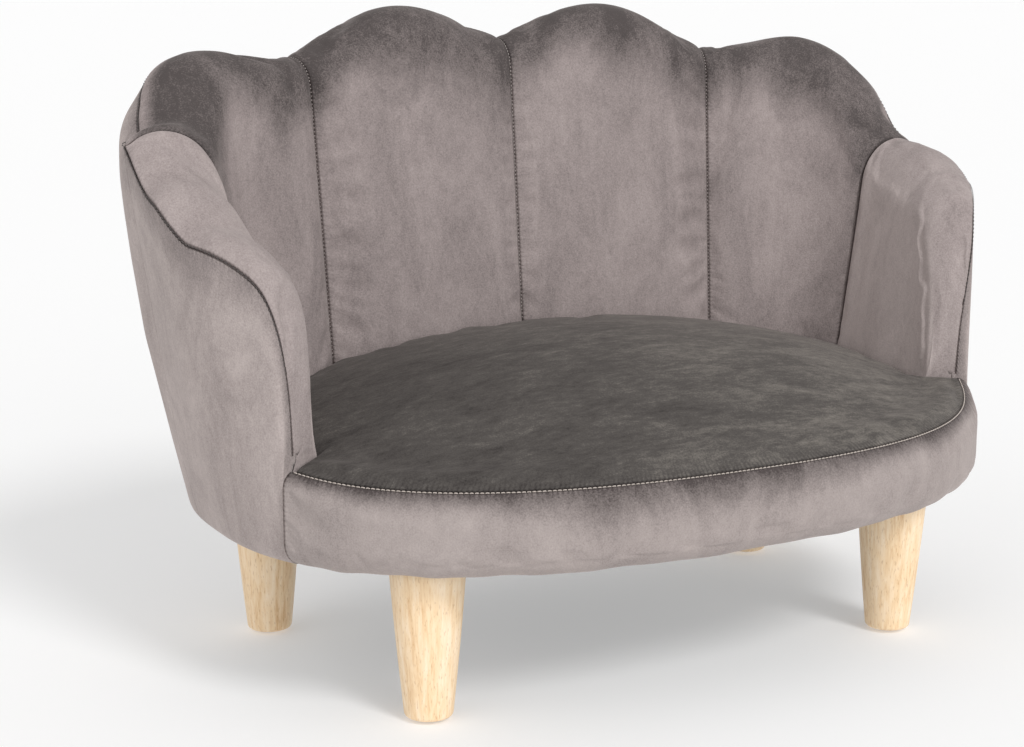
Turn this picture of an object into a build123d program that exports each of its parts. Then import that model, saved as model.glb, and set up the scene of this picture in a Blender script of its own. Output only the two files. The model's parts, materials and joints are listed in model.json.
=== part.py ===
from build123d import *
from math import atan2, cos, degrees, hypot, pi, radians, sin
import os

# Pet sofa with a scalloped, padded shell on four turned legs.
# Millimetres, +Z up, front towards -Y, origin on the floor under the middle of the base.
# Places round the base are angles: 0 at the front, 90 at the right, 180 at the back,
# and negative angles on the left. A profile is drawn in an upright plane square to the
# base outline, with its first coordinate pointing outward and its second upward.

# Base outline
base_width = 524.0
front_reach = 181.0
rear_reach = 155.0
front_fullness = 2.35
rear_fullness = 3.0

# Feet
glide_thickness = 2.0
glide_diameter = 12.0
leg_length = 96.0
leg_foot_diameter = 28.5
leg_top_diameter = 46.0
leg_foot_round = 2.5
front_leg_spread = 340.0
front_leg_reach = 100.0
rear_leg_spread = 384.0
rear_leg_reach = 94.0

# Leg fasteners
bolt_diameter = 8.0
bolt_in_leg = 30.0
bolt_above_board = 6.0
nut_barrel_diameter = 11.0
nut_barrel_length = 9.0
nut_flange_diameter = 24.0
nut_flange_thickness = 1.5
nut_pocket_clearance = 1.0

# Wooden frame
board_thickness = 12.0
rail_height = 28.0
rail_width = 18.0
deck_thickness = 8.0
panel_thickness = 5.0
rail_joint_angle = 58.0
rear_rail_angle = 128.0
screw_diameter = 4.0
screw_length = 26.0
screw_head_diameter = 8.0
screw_head_height = 2.4
deck_screws_per_rail = 3

# Upholstery layers
cover_thickness = 1.2
wadding_thickness = 4.0
layer_gap = 0.3
pad_gap = 0.5
fold_width = 26.0
dust_cover_thickness = 0.6
dust_cover_inset = 14.0
leg_hole_clearance = 1.0

# Seat and front band: the front seam over the deck, the crown over that seam
front_seam_rise = 1.0
band_bulge = 4.0
band_foot_roll = 14.0
band_top_roll = 13.0
seat_crown = 51.0
seat_seam_step = 2.0
seat_peak_back = 25.0
seat_side_share = 0.69
seat_clearance = 1.5
tip_gap_angle = 0.4

# Shell seams, as angles round the base
arm_tip_angle = 68.5
nose_angle = 73.5
arm_valley_angle = 84.0
arm_lean_angle = 91.5
arm_back_seam_angle = 95.5
side_seam_angle = 150.5
middle_seam_angle = 180.0

# Arm tips over the front seam, shell seams over the base and each lobe over its seams
arm_tip_rise = 19.0
arm_valley_rise = 192.0
arm_back_seam_rise = 228.0
side_seam_rise = 278.0
middle_seam_rise = 287.0
arm_front_sag = 4.0
arm_rear_lobe_rise = 4.0
outer_lobe_rise = 31.0
middle_lobe_rise = 24.5

# How full each arch of the crest is, and how far forward the outer lobe's top lies
arm_front_fullness = 0.25
arm_rear_fullness = 1.4
outer_lobe_fullness = 1.6
outer_lobe_skew = 0.75
middle_lobe_fullness = 1.35

# Shell thickness and slopes
arm_tip_depth = 20.0
arm_depth = 37.0
arm_back_seam_depth = 41.0
back_depth = 62.0
pad_crown = 7.0
arm_tip_lean = 0.03
arm_lean = 0.16
back_lean = -0.03
arm_inner_lean = 0.15
back_inner_lean = 0.10
rim_share = 0.5
seam_drop_share = 0.18
peak_share = 0.42
low_rim_share = 0.6
tip_thickness_share = 0.5
panel_top_drop = 12.0
belly = 2.0

# Shares along one padded lobe where its profile is drawn
lobe_shares = (0.0, 0.05, 0.16, 0.34, 0.5, 0.66, 0.84, 0.95, 1.0)
nose_shares = (0.0, 0.3, 0.55, 0.75, 0.9, 1.0)
front_lobe_shares = (0.0, 0.3, 0.65, 1.0)
seat_arm_shares = (0.35, 0.7, 0.9, 1.0)
nose_crown_share = 0.5

# Numbers of spans along the smooth edges
board_spans = 20
rail_spans = 16
band_spans = 12
seat_front_spans = 24

overrun = 1.0

# Levels worked out from the sizes above
base_height = glide_thickness + leg_length
board_top = base_height + board_thickness
deck_bottom = board_top + rail_height
deck_top = deck_bottom + deck_thickness
skin_bottom = base_height - cover_thickness
front_seam_height = deck_top + front_seam_rise
seat_peak_height = front_seam_height + seat_crown
arm_tip_height = front_seam_height + arm_tip_rise
arm_valley_height = base_height + arm_valley_rise
arm_back_seam_height = base_height + arm_back_seam_rise
side_seam_height = base_height + side_seam_rise
middle_seam_height = base_height + middle_seam_rise

# Insets from the outside of the covers
foam_inset = cover_thickness + pad_gap
wadding_inset = cover_thickness + layer_gap
panel_inset = wadding_inset + wadding_thickness + layer_gap
pad_inset = panel_inset + panel_thickness + layer_gap
lean_at_deck = max(-back_lean, 0) * (deck_top - base_height)
frame_inset = pad_inset + lean_at_deck
board_inset = frame_inset + layer_gap

# The base outline's widest line lies behind the middle of the overall depth
setback = (front_reach + band_bulge - rear_reach) / 2
seat_peak_y = setback + seat_peak_back

# Seat crown: its arc from the peak to the front seam and its arc from side to side
seat_front_run = seat_peak_back + front_reach - board_inset
seat_front_drop = seat_crown - seat_seam_step
seat_radius_deep = (seat_front_run ** 2 + seat_front_drop ** 2) / (2 * seat_front_drop)
seat_side_run = base_width / 2 - arm_depth
seat_side_drop = seat_crown * seat_side_share
seat_radius_across = (seat_side_run ** 2 + seat_side_drop ** 2) / (2 * seat_side_drop)

parts_folder = "parts"
os.makedirs(parts_folder, exist_ok=True)


def finish(name, piece):
    """Label a finished piece and write it under its name."""
    piece.part.label = name
    export_step(piece.part, f"{parts_folder}/{name}.step")


def power(value, exponent):
    """Raise the size of a value to a power and keep its sign."""
    size = abs(value) ** exponent
    return size if value >= 0 else -size


def blend(share):
    """Ease from 0 to 1 as the share goes from 0 to 1."""
    share = min(max(share, 0), 1)
    return share * share * (3 - 2 * share)


def mix(start, end, share):
    """Value between start and end."""
    return start + (end - start) * share


def outline(angle):
    """Point of the base outline and its outward direction."""
    across = sin(radians(angle))
    ahead = cos(radians(angle))
    in_front = ahead >= 0
    fullness = front_fullness if in_front else rear_fullness
    reach = front_reach if in_front else rear_reach
    half_width = base_width / 2
    x = half_width * power(across, 2 / fullness)
    y = -reach * power(ahead, 2 / fullness)
    slope_x = power(x / half_width, fullness - 1) / half_width
    slope_y = power(y / reach, fullness - 1) / reach
    length = hypot(slope_x, slope_y)
    return x, y + setback, slope_x / length, slope_y / length


def plan_point(angle, outward):
    """Point in plan at a distance outside the base outline."""
    x, y, out_x, out_y = outline(angle)
    return x + out_x * outward, y + out_y * outward


def station(angle):
    """Upright plane square to the outline, its first axis outward and second up."""
    x, y, out_x, out_y = outline(angle)
    return Plane(origin=(x, y, 0), x_dir=(out_x, out_y, 0), z_dir=(out_y, -out_x, 0))


def lobe_share(angle, start, end):
    """Share of the way from one seam angle to the next."""
    return (angle - start) / (end - start)


def lobe_arch(share, fullness):
    """Rise of a lobe's crest between its seams, from 0 at each seam to 1."""
    return max(sin(pi * share), 0) ** fullness


def crest(angle):
    """Height of the top of the padded rim."""
    angle = abs(angle)
    if angle >= side_seam_angle:
        across = max(sin(radians(angle)), 0) / sin(radians(side_seam_angle))
        share = 1 - across ** (2 / rear_fullness)
        rise = middle_lobe_rise * lobe_arch(share, middle_lobe_fullness)
        return mix(side_seam_height, middle_seam_height, share) + rise
    if angle >= arm_back_seam_angle:
        share = lobe_share(angle, arm_back_seam_angle, side_seam_angle)
        rise = outer_lobe_rise * lobe_arch(share ** outer_lobe_skew, outer_lobe_fullness)
        return mix(arm_back_seam_height, side_seam_height, share) + rise
    if angle >= arm_valley_angle:
        share = lobe_share(angle, arm_valley_angle, arm_back_seam_angle)
        rise = arm_rear_lobe_rise * sin(pi * share)
        return mix(arm_valley_height, arm_back_seam_height, share ** arm_rear_fullness) + rise
    share = lobe_share(angle, arm_valley_angle, arm_tip_angle)
    arch = max(1 - share ** 2, 0) ** arm_front_fullness
    return mix(arm_tip_height, arm_valley_height, arch) - arm_front_sag * sin(pi * share)


def seat_top(x, y):
    """Height of the crowned seat cover at a point in plan."""
    profile = seat_peak_height - seat_radius_deep
    profile += (seat_radius_deep ** 2 - (y - seat_peak_y) ** 2) ** 0.5
    axis = seat_peak_height - seat_radius_across
    return axis + ((profile - axis) ** 2 - x ** 2) ** 0.5


def crown(angle):
    """How far a lobe stands out between its seams, from 0 at a seam to 1."""
    angle = abs(angle)
    if angle >= side_seam_angle:
        share = lobe_share(angle, side_seam_angle, middle_seam_angle)
    elif angle >= arm_back_seam_angle:
        share = lobe_share(angle, arm_back_seam_angle, side_seam_angle)
    else:
        share = mix(nose_crown_share, 1.0, lobe_share(max(angle, nose_angle), nose_angle, arm_back_seam_angle))
    return 1 - abs(2 * share - 1) ** 3


def outer(angle, height):
    """Outside of the shell's cover, outward from the base outline."""
    angle = abs(angle)
    lean = mix(arm_tip_lean, arm_lean, blend(lobe_share(angle, arm_tip_angle, arm_lean_angle)))
    lean = mix(lean, back_lean, blend(lobe_share(angle, arm_back_seam_angle, side_seam_angle)))
    return lean * (height - base_height)


def inner(angle, height):
    """Inside of the shell's cover, upright to the seat and leaning outward above it."""
    angle = abs(angle)
    to_back = blend(lobe_share(angle, arm_back_seam_angle, side_seam_angle))
    to_seam = blend(lobe_share(angle, arm_lean_angle, arm_back_seam_angle))
    to_arm = blend(lobe_share(angle, arm_tip_angle, arm_lean_angle))
    depth = mix(mix(arm_tip_depth, arm_depth, to_arm), arm_back_seam_depth, to_seam)
    depth = mix(depth, back_depth, to_back) + pad_crown * crown(angle)
    lean = mix(arm_inner_lean, back_inner_lean, to_back)
    lean *= to_arm
    contact = seat_top(*plan_point(angle, -depth))
    return lean * max(height - contact, 0) - depth


def narrowing(angle):
    """Share of the full thickness that is left near the arm's tip."""
    share = max(lobe_share(abs(angle), nose_angle, arm_tip_angle), 0)
    return mix(tip_thickness_share, 1.0, (1 - share ** 3) ** 0.5)


class Rim:
    """Corners of one profile of the shell, inset from the outside of its cover."""

    def __init__(self, angle, inset=0.0):
        self.angle = angle
        self.inset = inset
        top = crest(angle)
        thickness = outer(angle, top) - inner(angle, top)
        self.shrink = thickness * (1 - narrowing(angle)) / 2
        rim_height = min(thickness * rim_share, (top - deck_top) * low_rim_share)
        self.shoulder = top - rim_height
        self.seam = top - rim_height * seam_drop_share / rim_share
        self.top = top - inset
        contact = seat_top(*plan_point(angle, inner(angle, deck_top)))
        self.waist = min(contact, mix(deck_top, self.shoulder, 0.5))

    def drawn_in(self, height):
        """How far each face moves towards the middle of the arm's tip at a height."""
        return self.shrink * max(height - self.waist, 0) / (self.seam - self.waist)

    def out(self, height, inset=None):
        """Point on the outside face."""
        inset = self.inset if inset is None else inset
        return outer(self.angle, height) - self.drawn_in(height) - inset, height

    def into(self, height):
        """Point on the inside face."""
        return inner(self.angle, height) + self.drawn_in(height) + self.inset, height

    def peak(self):
        """Point on the crest."""
        out_x = self.out(self.seam)[0]
        in_x = self.into(self.shoulder)[0]
        return mix(out_x, in_x, peak_share), self.top

    def corner(self):
        """Point on the outer seam."""
        return self.out(self.seam)[0], self.seam - self.inset * seam_drop_share


def pad_profile(angle):
    """Foam pad: against the panel, hooked over its top edge, up to the crest."""
    rim = Rim(angle, foam_inset)
    panel_top = rim.shoulder - panel_top_drop + layer_gap
    shoulder_out = rim.corner()
    shoulder_in = rim.into(rim.shoulder)
    Polyline(
        shoulder_in,
        rim.into(rim.waist),
        rim.into(deck_top),
        rim.out(deck_top, pad_inset),
        rim.out(panel_top, pad_inset),
        rim.out(panel_top),
        shoulder_out,
    )
    ThreePointArc(shoulder_out, rim.peak(), shoulder_in)


def nose_profile(angle):
    """Full thickness of foam at the front end of an arm."""
    rim = Rim(angle, foam_inset)
    shoulder_out = rim.corner()
    shoulder_in = rim.into(rim.shoulder)
    Polyline(shoulder_in, rim.into(rim.waist), rim.into(deck_top), rim.out(deck_top), shoulder_out)
    ThreePointArc(shoulder_out, rim.peak(), shoulder_in)


def inner_cover_profile(angle):
    """Velvet over the inside of a lobe and over its rim to the outer seam."""
    skin = Rim(angle)
    lining = Rim(angle, cover_thickness)
    top = skin.shoulder
    ThreePointArc(skin.corner(), skin.peak(), skin.into(top))
    Polyline(
        skin.into(top),
        skin.into(skin.waist),
        skin.into(deck_top),
        lining.into(deck_top),
        lining.into(skin.waist),
        lining.into(top),
    )
    ThreePointArc(lining.into(top), lining.peak(), lining.corner())
    Line(lining.corner(), skin.corner())


def outer_cover_profile(angle):
    """Velvet over the outside, from its fold under the base up to the outer seam."""
    skin = Rim(angle)
    top = skin.seam - layer_gap
    foot = skin.out(skin_bottom)[0]
    Polyline(
        (foot - fold_width, skin_bottom),
        (foot, skin_bottom),
        skin.out(deck_top, -belly),
        skin.out(top),
        skin.out(top, cover_thickness),
        skin.out(deck_top, cover_thickness - belly),
        skin.out(base_height, cover_thickness),
        (foot - fold_width, base_height),
        close=True,
    )


def layer_profile(angle, inset, thickness, top):
    """Upright layer of even thickness inside the outer cover."""
    rim = Rim(angle)
    Polyline(
        rim.out(base_height, inset + thickness),
        rim.out(base_height, inset),
        rim.out(top, inset),
        rim.out(top, inset + thickness),
        close=True,
    )


def wadding_profile(angle):
    """Wadding between the panel and the outer cover."""
    top = Rim(angle).shoulder - panel_top_drop
    layer_profile(angle, wadding_inset, wadding_thickness, top)


def low_wadding_profile(angle):
    """Wadding below the front end of an arm."""
    layer_profile(angle, wadding_inset, wadding_thickness, deck_top)


def panel_profile(angle):
    """Bent plywood that carries the shell."""
    top = Rim(angle).shoulder - panel_top_drop
    layer_profile(angle, panel_inset, panel_thickness, top)


def low_panel_profile(angle):
    """Bent plywood below the front end of an arm."""
    layer_profile(angle, panel_inset, panel_thickness, deck_top)


def band_profile(inset, backing, bottom):
    """Rounded front band from the base up to the front seam."""
    foot_roll = band_foot_roll - inset
    top_roll = band_top_roll - inset
    face = band_bulge - inset
    low = bottom + foot_roll
    top = front_seam_height - inset
    high = top - top_roll
    bend = 0.5 ** 0.5
    foot = (face - foot_roll, bottom)
    foot_middle = (face - foot_roll * (1 - bend), low - foot_roll * bend)
    head = (backing, top)
    head_middle = (face + (backing - face) * (1 - bend), high + top_roll * bend)
    return foot, foot_middle, (face, low), (face, high), head_middle, head


def band_foam_profile(angle):
    """Foam of the front band against the edge of the frame."""
    foot, foot_middle, low, high, head_middle, head = band_profile(
        foam_inset, -frame_inset, base_height)
    Line((-frame_inset, base_height), foot)
    ThreePointArc(foot, foot_middle, low)
    Line(low, high)
    ThreePointArc(high, head_middle, head)
    Line(head, (-frame_inset, base_height))


def band_cover_profile(angle):
    """Velvet of the front band, folded under the base."""
    foot, foot_middle, low, high, head_middle, head = band_profile(0.0, -frame_inset, skin_bottom)
    inside = band_profile(cover_thickness, -frame_inset, base_height)
    Line((-fold_width, skin_bottom), foot)
    ThreePointArc(foot, foot_middle, low)
    Line(low, high)
    ThreePointArc(high, head_middle, head)
    Line(head, inside[5])
    ThreePointArc(inside[5], inside[4], inside[3])
    Line(inside[3], inside[2])
    ThreePointArc(inside[2], inside[1], inside[0])
    Polyline(inside[0], (-fold_width, base_height), (-fold_width, skin_bottom))


leg_places = {
    "leg_front_left": (-front_leg_spread / 2, setback - front_leg_reach),
    "leg_front_right": (front_leg_spread / 2, setback - front_leg_reach),
    "leg_rear_left": (-rear_leg_spread / 2, setback + rear_leg_reach),
    "leg_rear_right": (rear_leg_spread / 2, setback + rear_leg_reach),
}
leg_centres = list(leg_places.values())


def span(start, end, shares=lobe_shares):
    """Angles of the profiles drawn from one seam to the next."""
    return [mix(start, end, share) for share in shares]


def on_side(side, angles):
    """The same angles on the right, 1, or the left, -1."""
    return [side * angle for angle in angles]


def loft_spans(name, spans, trimmed=False):
    """Loft each span of profiles in turn, join them and trim the fold round the legs."""
    with BuildPart() as piece:
        for angles, profile in spans:
            for angle in angles:
                with BuildSketch(station(angle)):
                    with BuildLine():
                        profile(angle)
                    make_face()
            loft()
        if trimmed:
            with BuildSketch(Plane.XY.offset(skin_bottom - overrun)):
                with Locations(*leg_centres):
                    Circle(leg_top_diameter / 2 + leg_hole_clearance)
            extrude(amount=cover_thickness + 2 * overrun, mode=Mode.SUBTRACT)
    finish(name, piece)


def outline_edge(start, end, outward, count):
    """Smooth edge that follows the outline at a distance."""
    angles = [mix(start, end, index / count) for index in range(count + 1)]
    return Spline(*[plan_point(angle, outward) for angle in angles])


def board_outline(inset):
    """Closed edge inset from the base outline."""
    outline_edge(-90, 90, -inset, board_spans)
    outline_edge(90, 270, -inset, board_spans)


def ring_outline(start, end, outside, inside):
    """Closed edge of a curved rail between two insets."""
    outline_edge(start, end, -outside, rail_spans)
    outline_edge(start, end, -inside, rail_spans)
    Line(plan_point(start, -outside), plan_point(start, -inside))
    Line(plan_point(end, -outside), plan_point(end, -inside))


rail_ends = {
    "rail_front": (-rail_joint_angle, rail_joint_angle),
    "rail_right": (rail_joint_angle, rear_rail_angle),
    "rail_rear": (rear_rail_angle, 360 - rear_rail_angle),
    "rail_left": (-rear_rail_angle, -rail_joint_angle),
}
rail_middle_inset = board_inset + rail_width / 2
screw_places = [
    plan_point(mix(start, end, (index + 0.5) / deck_screws_per_rail), -rail_middle_inset)
    for start, end in rail_ends.values()
    for index in range(deck_screws_per_rail)
]

# Turned legs with a rounded foot
for name, place in leg_places.items():
    with BuildPart() as leg:
        with BuildSketch(Plane.XY.offset(glide_thickness)):
            with Locations(place):
                Circle(leg_foot_diameter / 2)
        with BuildSketch(Plane.XY.offset(base_height)):
            with Locations(place):
                Circle(leg_top_diameter / 2)
        loft()
        fillet(leg.edges().group_by(Axis.Z)[0], leg_foot_round)
        with Locations(Plane.XY.offset(base_height)):
            with Locations(place):
                Hole(bolt_diameter / 2, depth=bolt_in_leg)
    finish(name, leg)

# Glides under the legs
with BuildPart() as glides:
    with BuildSketch():
        with Locations(*leg_centres):
            Circle(glide_diameter / 2)
    extrude(amount=glide_thickness)
finish("leg_glides", glides)

# Hanger bolts from the legs up through the nuts
with BuildPart() as bolts:
    with BuildSketch(Plane.XY.offset(base_height - bolt_in_leg)):
        with Locations(*leg_centres):
            Circle(bolt_diameter / 2)
    extrude(amount=bolt_in_leg + board_thickness + bolt_above_board)
finish("hanger_bolts", bolts)

# Tee nuts set in the base board from above
with BuildPart() as nuts:
    with BuildSketch(Plane.XY.offset(board_top)):
        with Locations(*leg_centres):
            Circle(nut_flange_diameter / 2)
            Circle(bolt_diameter / 2, mode=Mode.SUBTRACT)
    extrude(amount=nut_flange_thickness)
    with BuildSketch(Plane.XY.offset(board_top)):
        with Locations(*leg_centres):
            Circle(nut_barrel_diameter / 2)
            Circle(bolt_diameter / 2, mode=Mode.SUBTRACT)
    extrude(amount=-nut_barrel_length)
finish("tee_nuts", nuts)

# Base board with a stepped hole over each leg
with BuildPart() as base_board:
    with BuildSketch(Plane.XY.offset(base_height)):
        with BuildLine():
            board_outline(board_inset)
        make_face()
    extrude(amount=board_thickness)
    with Locations(Plane.XY.offset(board_top)):
        with Locations(*leg_centres):
            CounterBoreHole(bolt_diameter / 2, nut_barrel_diameter / 2, nut_barrel_length,
                            depth=board_thickness)
finish("base_board", base_board)

# Rails between the base board and the deck
for name, (start, end) in rail_ends.items():
    with BuildPart() as rail:
        with BuildSketch(Plane.XY.offset(board_top)):
            with BuildLine():
                ring_outline(start, end, board_inset, board_inset + rail_width)
            make_face()
        extrude(amount=rail_height)
        with Locations(Plane.XY.offset(deck_bottom)):
            with Locations(*screw_places):
                Hole(screw_diameter / 2, depth=screw_length - deck_thickness)
        with BuildSketch(Plane.XY.offset(board_top)):
            with Locations(*leg_centres):
                Circle(nut_flange_diameter / 2 + nut_pocket_clearance)
        extrude(amount=bolt_above_board + nut_pocket_clearance, mode=Mode.SUBTRACT)
    finish(name, rail)

# Seat deck on the rails
screw_head_step = (screw_head_diameter - screw_diameter) / 2
sink_angle = degrees(2 * atan2(screw_head_step, screw_head_height))
with BuildPart() as seat_deck:
    with BuildSketch(Plane.XY.offset(deck_bottom)):
        with BuildLine():
            board_outline(board_inset)
        make_face()
    extrude(amount=deck_thickness)
    with Locations(Plane.XY.offset(deck_top)):
        with Locations(*screw_places):
            CounterSinkHole(screw_diameter / 2, screw_head_diameter / 2, depth=deck_thickness,
                            counter_sink_angle=sink_angle)
finish("seat_deck", seat_deck)

# Countersunk screws from the deck into the rails
with BuildPart() as screws:
    for x, y in screw_places:
        with BuildSketch(Plane((x, y, deck_top - screw_length))):
            Circle(screw_diameter / 2)
        extrude(amount=screw_length)
        with BuildSketch(Plane((x, y, deck_top - screw_head_height))):
            Circle(screw_diameter / 2)
        with BuildSketch(Plane((x, y, deck_top))):
            Circle(screw_head_diameter / 2)
        loft()
finish("deck_screws", screws)

# Shell: spans of the right side from the arm's tip round to the middle of the back
tip_span = span(nose_angle, arm_tip_angle, nose_shares)
front_span = span(arm_valley_angle, nose_angle, front_lobe_shares)
rear_span = span(arm_back_seam_angle, arm_valley_angle)
outer_span = span(side_seam_angle, arm_back_seam_angle)
middle_span = span(middle_seam_angle, side_seam_angle)
back_lobes = [
    on_side(-1, outer_span),
    on_side(-1, middle_span),
    on_side(1, middle_span),
    on_side(1, outer_span),
]

for number, angles in enumerate(back_lobes, start=1):
    loft_spans(f"back_pad_{number}", [(angles, pad_profile)])
    loft_spans(f"back_cover_inner_{number}", [(angles, inner_cover_profile)])
loft_spans("back_panel", [(angles, panel_profile) for angles in back_lobes])
loft_spans("back_wadding", [(angles, wadding_profile) for angles in back_lobes])
loft_spans("back_cover_outer", [(angles, outer_cover_profile) for angles in back_lobes], trimmed=True)

for side_name, side in (("left", -1), ("right", 1)):
    tip = on_side(side, tip_span)
    front = on_side(side, front_span)
    rear = on_side(side, rear_span)
    loft_spans(f"arm_nose_{side_name}", [(tip, nose_profile)])
    loft_spans(f"arm_pad_{side_name}", [(front, pad_profile), (rear, pad_profile)])
    loft_spans(f"arm_panel_{side_name}", [
        (tip, low_panel_profile), (front, panel_profile), (rear, panel_profile)])
    loft_spans(f"arm_wadding_{side_name}", [
        (tip, low_wadding_profile), (front, wadding_profile), (rear, wadding_profile)])
    loft_spans(f"arm_cover_inner_{side_name}", [
        (angles, inner_cover_profile) for angles in (tip, front, rear)])
    loft_spans(f"arm_cover_outer_{side_name}", [
        (angles, outer_cover_profile) for angles in (tip, front, rear)], trimmed=True)

# Front band between the arms
band_shares = [index / band_spans for index in range(band_spans + 1)]
band_span = span(-arm_tip_angle, arm_tip_angle, band_shares)
loft_spans("front_band_foam", [(band_span, band_foam_profile)])
loft_spans("front_band_cover", [(band_span, band_cover_profile)], trimmed=True)


def seat_outline():
    """Closed edge of the seat: the front seam, a step in at each arm and the shell's inside."""
    step = arm_tip_angle - tip_gap_angle
    outline_edge(-step, step, -board_inset, seat_front_spans)
    sides = []
    for side in (1, -1):
        angles = [step, nose_angle]
        angles += span(nose_angle, arm_back_seam_angle, seat_arm_shares)
        angles += span(arm_back_seam_angle, side_seam_angle, lobe_shares[1:])
        angles += span(side_seam_angle, middle_seam_angle, lobe_shares[1:])
        sides.append([plan_point(side * a, inner(a, deck_top) - seat_clearance) for a in angles])
    right, left = sides
    Spline(*right)
    Spline(*left)
    Line(plan_point(step, -board_inset), right[0])
    Line(plan_point(-step, -board_inset), left[0])


def seat_layer(name, top_drop, bottom_drop):
    """Piece of the seat between two crowned surfaces, or the deck and one of them."""
    axis_height = seat_peak_height - seat_radius_across
    front = setback - front_reach - overrun
    rear = setback + rear_reach + overrun
    with BuildPart() as piece:
        with BuildSketch(Plane.XY.offset(deck_top)):
            with BuildLine():
                seat_outline()
            make_face()
        extrude(amount=seat_peak_height - deck_top)
        with BuildSketch(Plane.YZ):
            with BuildLine():
                crowned_edge(front, rear, top_drop)
                if bottom_drop is None:
                    Polyline(crown_point(front, top_drop), (front, axis_height),
                             (rear, axis_height), crown_point(rear, top_drop))
                else:
                    crowned_edge(front, rear, bottom_drop)
                    Line(crown_point(front, top_drop), crown_point(front, bottom_drop))
                    Line(crown_point(rear, top_drop), crown_point(rear, bottom_drop))
            make_face()
        revolve(axis=Axis((0, 0, axis_height), (0, 1, 0)), mode=Mode.INTERSECT)
    finish(name, piece)


def crown_point(y, drop):
    """Point of the seat's crowned profile at a distance below its top."""
    radius = seat_radius_deep - drop
    return y, seat_peak_height - seat_radius_deep + (radius ** 2 - (y - seat_peak_y) ** 2) ** 0.5


def crowned_edge(front, rear, drop):
    """Arc of the seat's profile from front to rear."""
    ThreePointArc(crown_point(front, drop), crown_point(seat_peak_y, drop), crown_point(rear, drop))


seat_layer("seat_cover", 0.0, cover_thickness)
seat_layer("seat_foam", foam_inset, None)

# Dust cover under the base board, with a hole round each leg
with BuildPart() as dust_cover:
    with BuildSketch(Plane.XY.offset(skin_bottom - dust_cover_thickness)):
        with BuildLine():
            board_outline(dust_cover_inset)
        make_face()
        with Locations(*leg_centres):
            Circle(leg_top_diameter / 2 + leg_hole_clearance, mode=Mode.SUBTRACT)
    extrude(amount=dust_cover_thickness)
finish("dust_cover", dust_cover)
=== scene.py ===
"""Pet sofa: a scalloped, padded velvet shell round a crowned seat, on four turned legs.

Shapes are worked out in millimetres, +Z up and the open front towards -Y, and written to the
meshes in metres. Places round the sofa are angles: 0 at the front, 90 at the right, 180 at the
back, and negative angles on the left.
"""

import json
import logging
import math
from collections.abc import Iterable, Iterator
from dataclasses import dataclass
from enum import Enum
from functools import cache
from itertools import accumulate
from typing import NamedTuple

import bmesh
import bpy
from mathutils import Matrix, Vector

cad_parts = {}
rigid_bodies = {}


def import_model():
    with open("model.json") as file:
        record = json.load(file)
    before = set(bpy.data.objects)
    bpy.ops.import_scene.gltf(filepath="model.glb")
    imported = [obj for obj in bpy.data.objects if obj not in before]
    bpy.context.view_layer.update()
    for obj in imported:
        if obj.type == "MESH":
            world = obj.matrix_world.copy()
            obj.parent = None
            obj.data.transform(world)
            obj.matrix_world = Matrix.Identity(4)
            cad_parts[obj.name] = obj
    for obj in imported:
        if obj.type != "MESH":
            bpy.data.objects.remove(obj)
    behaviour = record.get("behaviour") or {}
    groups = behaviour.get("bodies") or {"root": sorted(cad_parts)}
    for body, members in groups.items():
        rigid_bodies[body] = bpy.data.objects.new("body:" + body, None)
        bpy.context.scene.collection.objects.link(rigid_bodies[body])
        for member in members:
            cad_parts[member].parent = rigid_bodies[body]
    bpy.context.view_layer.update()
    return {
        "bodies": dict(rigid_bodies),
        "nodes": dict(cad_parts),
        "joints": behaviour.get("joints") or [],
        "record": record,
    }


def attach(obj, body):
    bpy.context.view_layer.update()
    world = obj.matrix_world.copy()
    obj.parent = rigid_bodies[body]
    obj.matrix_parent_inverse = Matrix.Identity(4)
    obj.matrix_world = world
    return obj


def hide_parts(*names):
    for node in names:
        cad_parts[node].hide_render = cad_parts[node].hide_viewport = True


LOG = logging.getLogger("pet_sofa")
MM = 0.001
NO_SEAM = 99.0
FAR = 50.0
Section = list[tuple[float, float]]
Grid = list[list[float]]
Table = list[list[Vector]]
Path = list[tuple[Vector, Vector]]
Spot = tuple[float, float]
Triple = tuple[float, float, float]
Socket = bpy.types.NodeSocket
Object = bpy.types.Object
Material = bpy.types.Material


def mix(start: float, end: float, share: float) -> float:
    """Value between start and end."""
    return start + (end - start) * share


def ease(share: float) -> float:
    """Ease from 0 to 1 as the share goes from 0 to 1."""
    share = min(max(share, 0.0), 1.0)
    return share * share * (3.0 - 2.0 * share)


def part_way(value: float, start: float, end: float) -> float:
    """Share of the way from start to end."""
    return (value - start) / (end - start)


def power(value: float, exponent: float) -> float:
    """Raise the size of a value to a power and keep its sign."""
    size = abs(value) ** exponent
    return size if value >= 0 else -size


def linear(code: str) -> tuple[float, float, float, float]:
    """Turn an sRGB hex colour into linear red, green, blue and alpha.

    Args:
        code: Six hex digits, as in "a09795".

    Returns:
        The linear colour, with alpha 1.
    """
    channels = [int(code[i:i + 2], 16) / 255 for i in (0, 2, 4)]
    rgb = [c / 12.92 if c <= 0.04045 else ((c + 0.055) / 1.055) ** 2.4 for c in channels]
    return rgb[0], rgb[1], rgb[2], 1.0


def evenly(start: float, end: float, steps: int) -> list[float]:
    """Values from start to end in equal steps."""
    return [mix(start, end, i / steps) for i in range(steps + 1)]


def clustered(start: float, end: float, steps: int) -> list[float]:
    """Values from start to end that crowd together at both ends."""
    return [mix(start, end, (1 - math.cos(math.pi * i / steps)) / 2) for i in range(steps + 1)]


def turned(angle: float) -> float:
    """Angle past the back brought to the left side, where angles are negative."""
    return angle if angle <= 180 else angle - 360


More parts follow.
